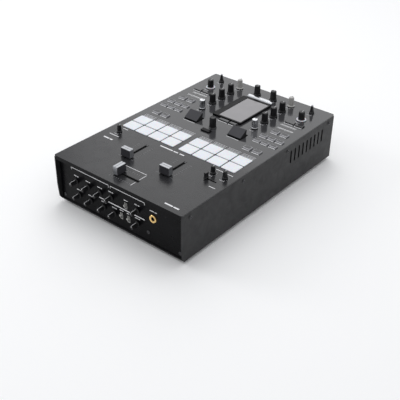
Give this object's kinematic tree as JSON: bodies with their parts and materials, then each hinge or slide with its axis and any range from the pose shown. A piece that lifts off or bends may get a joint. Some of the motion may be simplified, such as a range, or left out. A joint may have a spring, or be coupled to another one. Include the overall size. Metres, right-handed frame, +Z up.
{
  "type": "dj mixer",
  "caption": "Desktop scratch mixer with a lit performance pad grid, tone and effect knobs, tilting effect paddles, sliding faders, a screen, and front and rear panels.",
  "frame": {"origin": "centre of the footprint at the bottom of the feet", "axes": "+X to the player's right, +Y from the player to the rear panel, +Z up out of the control surface"},
  "size_m": [0.262, 0.42, 0.1095],
  "materials": {
    "plate": "dark grey satin lacquer over sheet metal",
    "chassis": "dark fine-textured powder coat",
    "gloss": "polished black",
    "rubber": "matte moulded rubber",
    "pad_white": "frosted translucent white silicone",
    "knob_black": "matte rubberised",
    "knob_grey": "light grey satin",
    "chrome": "polished",
    "slate": "slate grey satin",
    "screen": "unlit light grey panel under glass",
    "button": "satin grey keys",
    "board": "green solder mask",
    "steel": "plated sheet",
    "brass": "gold-plated"
  },
  "bodies": {
    "mixer": {"chassis": "chassis", "top_plate": "plate", "front_panel": "gloss", "rear_panel": "chassis", "button_keypad": "button", "screen_housing": "gloss", "screen_glass": "screen", "headphone_jack": "brass", "control_board": "board", "power_supply": "steel", "rear_sockets": "gloss", "foot_front_left": "rubber", "foot_front_right": "rubber", "foot_rear_left": "rubber", "foot_rear_right": "rubber"},
    "pad_left_1": {"pad_left_1": "pad_white"},
    "pad_left_2": {"pad_left_2": "pad_white"},
    "pad_left_3": {"pad_left_3": "pad_white"},
    "pad_left_4": {"pad_left_4": "pad_white"},
    "pad_left_5": {"pad_left_5": "pad_white"},
    "pad_left_6": {"pad_left_6": "pad_white"},
    "pad_left_7": {"pad_left_7": "pad_white"},
    "pad_left_8": {"pad_left_8": "pad_white"},
    "pad_right_1": {"pad_right_1": "pad_white"},
    "pad_right_2": {"pad_right_2": "pad_white"},
    "pad_right_3": {"pad_right_3": "pad_white"},
    "pad_right_4": {"pad_right_4": "pad_white"},
    "pad_right_5": {"pad_right_5": "pad_white"},
    "pad_right_6": {"pad_right_6": "pad_white"},
    "pad_right_7": {"pad_right_7": "pad_white"},
    "pad_right_8": {"pad_right_8": "pad_white"},
    "trim_knob_left": {"trim_knob_left": "knob_grey"},
    "high_knob_left": {"high_knob_left": "knob_black"},
    "mid_knob_left": {"mid_knob_left": "knob_black"},
    "low_knob_left": {"low_knob_left": "knob_black"},
    "filter_knob_left": {"filter_knob_left": "chrome"},
    "effect_selector_left": {"effect_selector_left": "knob_black"},
    "input_selector_left": {"input_selector_left": "knob_black"},
    "trim_knob_right": {"trim_knob_right": "knob_grey"},
    "high_knob_right": {"high_knob_right": "knob_black"},
    "mid_knob_right": {"mid_knob_right": "knob_black"},
    "low_knob_right": {"low_knob_right": "knob_black"},
    "filter_knob_right": {"filter_knob_right": "chrome"},
    "effect_selector_right": {"effect_selector_right": "knob_black"},
    "input_selector_right": {"input_selector_right": "knob_black"},
    "send_knob": {"send_knob": "knob_black"},
    "master_knob": {"master_knob": "knob_black"},
    "browse_knob": {"browse_knob": "knob_black"},
    "mic_knob": {"mic_knob": "knob_black"},
    "booth_knob": {"booth_knob": "knob_black"},
    "phones_knob": {"phones_knob": "knob_black"},
    "front_knob_mix": {"front_knob_mix": "knob_black"},
    "front_knob_level": {"front_knob_level": "knob_black"},
    "channel_fader_left": {"channel_fader_left": "slate"},
    "channel_fader_right": {"channel_fader_right": "slate"},
    "crossfader": {"crossfader": "slate"},
    "cue_slider": {"cue_slider": "knob_black"},
    "effect_paddle_left": {"effect_paddle_left": "slate"},
    "effect_paddle_right": {"effect_paddle_right": "slate"},
    "power_button": {"power_button": "knob_black"}
  },
  "joints": [
    {"name": "pad_left_1_press", "type": "slide", "parent": "mixer", "child": "pad_left_1", "axis": [0, 0, -1], "range_m": [0, 0.0015], "stiffness_N_per_m": 300, "springref_m": -0.001},
    {"name": "pad_left_2_press", "type": "slide", "parent": "mixer", "child": "pad_left_2", "axis": [0, 0, -1], "range_m": [0, 0.0015], "stiffness_N_per_m": 300, "springref_m": -0.001},
    {"name": "pad_left_3_press", "type": "slide", "parent": "mixer", "child": "pad_left_3", "axis": [0, 0, -1], "range_m": [0, 0.0015], "stiffness_N_per_m": 300, "springref_m": -0.001},
    {"name": "pad_left_4_press", "type": "slide", "parent": "mixer", "child": "pad_left_4", "axis": [0, 0, -1], "range_m": [0, 0.0015], "stiffness_N_per_m": 300, "springref_m": -0.001},
    {"name": "pad_left_5_press", "type": "slide", "parent": "mixer", "child": "pad_left_5", "axis": [0, 0, -1], "range_m": [0, 0.0015], "stiffness_N_per_m": 300, "springref_m": -0.001},
    {"name": "pad_left_6_press", "type": "slide", "parent": "mixer", "child": "pad_left_6", "axis": [0, 0, -1], "range_m": [0, 0.0015], "stiffness_N_per_m": 300, "springref_m": -0.001},
    {"name": "pad_left_7_press", "type": "slide", "parent": "mixer", "child": "pad_left_7", "axis": [0, 0, -1], "range_m": [0, 0.0015], "stiffness_N_per_m": 300, "springref_m": -0.001},
    {"name": "pad_left_8_press", "type": "slide", "parent": "mixer", "child": "pad_left_8", "axis": [0, 0, -1], "range_m": [0, 0.0015], "stiffness_N_per_m": 300, "springref_m": -0.001},
    {"name": "pad_right_1_press", "type": "slide", "parent": "mixer", "child": "pad_right_1", "axis": [0, 0, -1], "range_m": [0, 0.0015], "stiffness_N_per_m": 300, "springref_m": -0.001},
    {"name": "pad_right_2_press", "type": "slide", "parent": "mixer", "child": "pad_right_2", "axis": [0, 0, -1], "range_m": [0, 0.0015], "stiffness_N_per_m": 300, "springref_m": -0.001},
    {"name": "pad_right_3_press", "type": "slide", "parent": "mixer", "child": "pad_right_3", "axis": [0, 0, -1], "range_m": [0, 0.0015], "stiffness_N_per_m": 300, "springref_m": -0.001},
    {"name": "pad_right_4_press", "type": "slide", "parent": "mixer", "child": "pad_right_4", "axis": [0, 0, -1], "range_m": [0, 0.0015], "stiffness_N_per_m": 300, "springref_m": -0.001},
    {"name": "pad_right_5_press", "type": "slide", "parent": "mixer", "child": "pad_right_5", "axis": [0, 0, -1], "range_m": [0, 0.0015], "stiffness_N_per_m": 300, "springref_m": -0.001},
    {"name": "pad_right_6_press", "type": "slide", "parent": "mixer", "child": "pad_right_6", "axis": [0, 0, -1], "range_m": [0, 0.0015], "stiffness_N_per_m": 300, "springref_m": -0.001},
    {"name": "pad_right_7_press", "type": "slide", "parent": "mixer", "child": "pad_right_7", "axis": [0, 0, -1], "range_m": [0, 0.0015], "stiffness_N_per_m": 300, "springref_m": -0.001},
    {"name": "pad_right_8_press", "type": "slide", "parent": "mixer", "child": "pad_right_8", "axis": [0, 0, -1], "range_m": [0, 0.0015], "stiffness_N_per_m": 300, "springref_m": -0.001},
    {"name": "trim_knob_left_turn", "type": "hinge", "parent": "mixer", "child": "trim_knob_left", "pos_m": [-0.0563, 0.181, 0.089], "axis": [0, 0, -1], "range_deg": [-150, 150]},
    {"name": "high_knob_left_turn", "type": "hinge", "parent": "mixer", "child": "high_knob_left", "pos_m": [-0.0563, 0.153, 0.089], "axis": [0, 0, -1], "range_deg": [-150, 150]},
    {"name": "mid_knob_left_turn", "type": "hinge", "parent": "mixer", "child": "mid_knob_left", "pos_m": [-0.0563, 0.1265, 0.089], "axis": [0, 0, -1], "range_deg": [-150, 150]},
    {"name": "low_knob_left_turn", "type": "hinge", "parent": "mixer", "child": "low_knob_left", "pos_m": [-0.0563, 0.1, 0.089], "axis": [0, 0, -1], "range_deg": [-150, 150]},
    {"name": "filter_knob_left_turn", "type": "hinge", "parent": "mixer", "child": "filter_knob_left", "pos_m": [-0.0563, 0.071, 0.089], "axis": [0, 0, -1], "range_deg": [-150, 150]},
    {"name": "effect_selector_left_turn", "type": "hinge", "parent": "mixer", "child": "effect_selector_left", "pos_m": [-0.0991, 0.148, 0.089], "axis": [0, 0, -1], "range_deg": [-135, 135]},
    {"name": "input_selector_left_turn", "type": "hinge", "parent": "mixer", "child": "input_selector_left", "pos_m": [-0.0991, 0.181, 0.089], "axis": [0, 0, -1], "range_deg": [-45, 45]},
    {"name": "trim_knob_right_turn", "type": "hinge", "parent": "mixer", "child": "trim_knob_right", "pos_m": [0.0563, 0.181, 0.089], "axis": [0, 0, -1], "range_deg": [-150, 150]},
    {"name": "high_knob_right_turn", "type": "hinge", "parent": "mixer", "child": "high_knob_right", "pos_m": [0.0563, 0.153, 0.089], "axis": [0, 0, -1], "range_deg": [-150, 150]},
    {"name": "mid_knob_right_turn", "type": "hinge", "parent": "mixer", "child": "mid_knob_right", "pos_m": [0.0563, 0.1265, 0.089], "axis": [0, 0, -1], "range_deg": [-150, 150]},
    {"name": "low_knob_right_turn", "type": "hinge", "parent": "mixer", "child": "low_knob_right", "pos_m": [0.0563, 0.1, 0.089], "axis": [0, 0, -1], "range_deg": [-150, 150]},
    {"name": "filter_knob_right_turn", "type": "hinge", "parent": "mixer", "child": "filter_knob_right", "pos_m": [0.0563, 0.071, 0.089], "axis": [0, 0, -1], "range_deg": [-150, 150]},
    {"name": "effect_selector_right_turn", "type": "hinge", "parent": "mixer", "child": "effect_selector_right", "pos_m": [0.0991, 0.148, 0.089], "axis": [0, 0, -1], "range_deg": [-135, 135]},
    {"name": "input_selector_right_turn", "type": "hinge", "parent": "mixer", "child": "input_selector_right", "pos_m": [0.0991, 0.181, 0.089], "axis": [0, 0, -1], "range_deg": [-45, 45]},
    {"name": "send_knob_turn", "type": "hinge", "parent": "mixer", "child": "send_knob", "pos_m": [-0.016, 0.1795, 0.089], "axis": [0, 0, -1], "range_deg": [-150, 150]},
    {"name": "master_knob_turn", "type": "hinge", "parent": "mixer", "child": "master_knob", "pos_m": [0.019, 0.1795, 0.089], "axis": [0, 0, -1], "range_deg": [-150, 150]},
    {"name": "browse_knob_turn", "type": "hinge", "parent": "mixer", "child": "browse_knob", "pos_m": [0.002, 0.027, 0.089], "axis": [0, 0, -1], "continuous": true},
    {"name": "mic_knob_turn", "type": "hinge", "parent": "mixer", "child": "mic_knob", "pos_m": [-0.106, -0.084, 0.089], "axis": [0, 0, -1], "range_deg": [-150, 150]},
    {"name": "booth_knob_turn", "type": "hinge", "parent": "mixer", "child": "booth_knob", "pos_m": [0.0925, -0.086, 0.089], "axis": [0, 0, -1], "range_deg": [-150, 150]},
    {"name": "phones_knob_turn", "type": "hinge", "parent": "mixer", "child": "phones_knob", "pos_m": [0.1155, -0.086, 0.089], "axis": [0, 0, -1], "range_deg": [-150, 150]},
    {"name": "front_knob_mix_turn", "type": "hinge", "parent": "mixer", "child": "front_knob_mix", "pos_m": [0.038, -0.196, 0.054], "axis": [0, -1, 0], "range_deg": [-150, 150]},
    {"name": "front_knob_level_turn", "type": "hinge", "parent": "mixer", "child": "front_knob_level", "pos_m": [0.038, -0.196, 0.03], "axis": [0, -1, 0], "range_deg": [-150, 150]},
    {"name": "channel_fader_left_slide", "type": "slide", "parent": "mixer", "child": "channel_fader_left", "axis": [0, 1, 0], "range_m": [-0.004, 0.041]},
    {"name": "channel_fader_right_slide", "type": "slide", "parent": "mixer", "child": "channel_fader_right", "axis": [0, 1, 0], "range_m": [-0.004, 0.041]},
    {"name": "crossfader_slide", "type": "slide", "parent": "mixer", "child": "crossfader", "axis": [1, 0, 0], "range_m": [-0.007, 0.036]},
    {"name": "cue_slider_slide", "type": "slide", "parent": "mixer", "child": "cue_slider", "axis": [1, 0, 0], "range_m": [0, 0.016]},
    {"name": "effect_paddle_left_tilt", "type": "hinge", "parent": "mixer", "child": "effect_paddle_left", "pos_m": [-0.047, 0.033, 0.084], "axis": [1, 0, 0], "range_deg": [-10, 10], "stiffness_Nm_per_rad": 0.1},
    {"name": "effect_paddle_right_tilt", "type": "hinge", "parent": "mixer", "child": "effect_paddle_right", "pos_m": [0.047, 0.033, 0.084], "axis": [1, 0, 0], "range_deg": [-10, 10], "stiffness_Nm_per_rad": 0.1},
    {"name": "power_button_press", "type": "slide", "parent": "mixer", "child": "power_button", "axis": [0, -1, 0], "range_m": [0, 0.0025], "stiffness_N_per_m": 300, "springref_m": -0.001}
  ]
}
